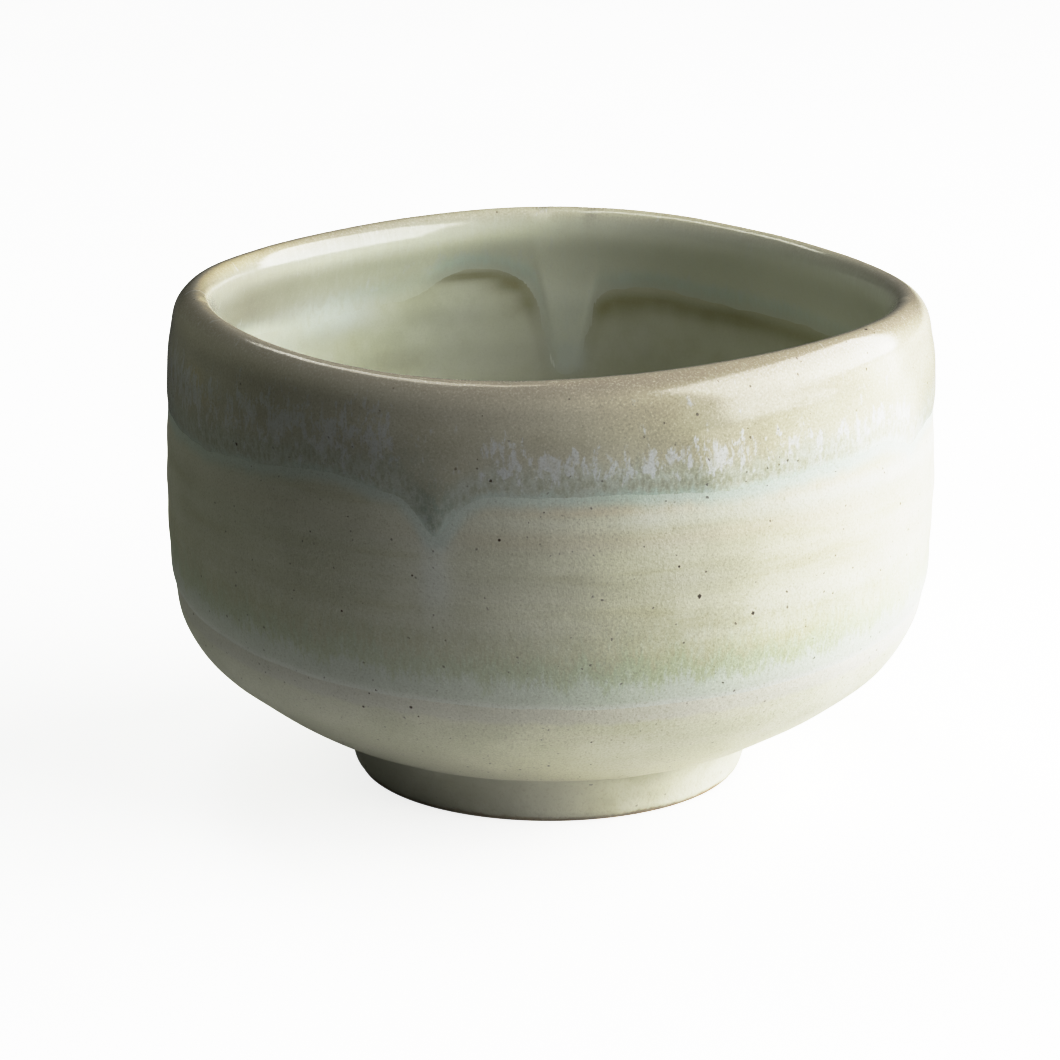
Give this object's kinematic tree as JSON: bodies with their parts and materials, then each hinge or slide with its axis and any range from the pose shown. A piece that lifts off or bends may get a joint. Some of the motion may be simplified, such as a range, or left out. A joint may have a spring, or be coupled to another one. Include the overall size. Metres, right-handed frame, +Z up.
{
  "type": "matcha bowl",
  "caption": "Hand-thrown stoneware tea bowl: upright, slightly uneven wall, rounded belly, trimmed foot ring, and layered pale glaze coats that ran down from the lip.",
  "frame": {"origin": "centre of the foot, on the plane the bowl stands on", "axes": "+Z up out of the mouth; -Y is the front, the side with the pointed outside glaze run; +X to the right seen from the front"},
  "size_m": [0.1193, 0.1203, 0.0778],
  "materials": {
    "stoneware": "bare fired stoneware clay, matt, warm brown",
    "foot_coat": "thin matt whitish coat",
    "outer_coat": "satin warm grey-cream glaze with fine iron specks",
    "belly_coat": "satin beige-grey ash glaze with iron specks and a pale run line",
    "rim_coat": "satin to glossy tan rim glaze, streaked bluish white, mint at its run line",
    "liner_coat": "glossy pale olive liner glaze"
  },
  "bodies": {
    "root": {"clay_body": "stoneware", "foot_ring": "stoneware", "foot_glaze": "foot_coat", "outer_glaze": "outer_coat", "belly_glaze": "belly_coat", "rim_glaze": "rim_coat", "inner_glaze": "liner_coat"}
  },
  "joints": []
}
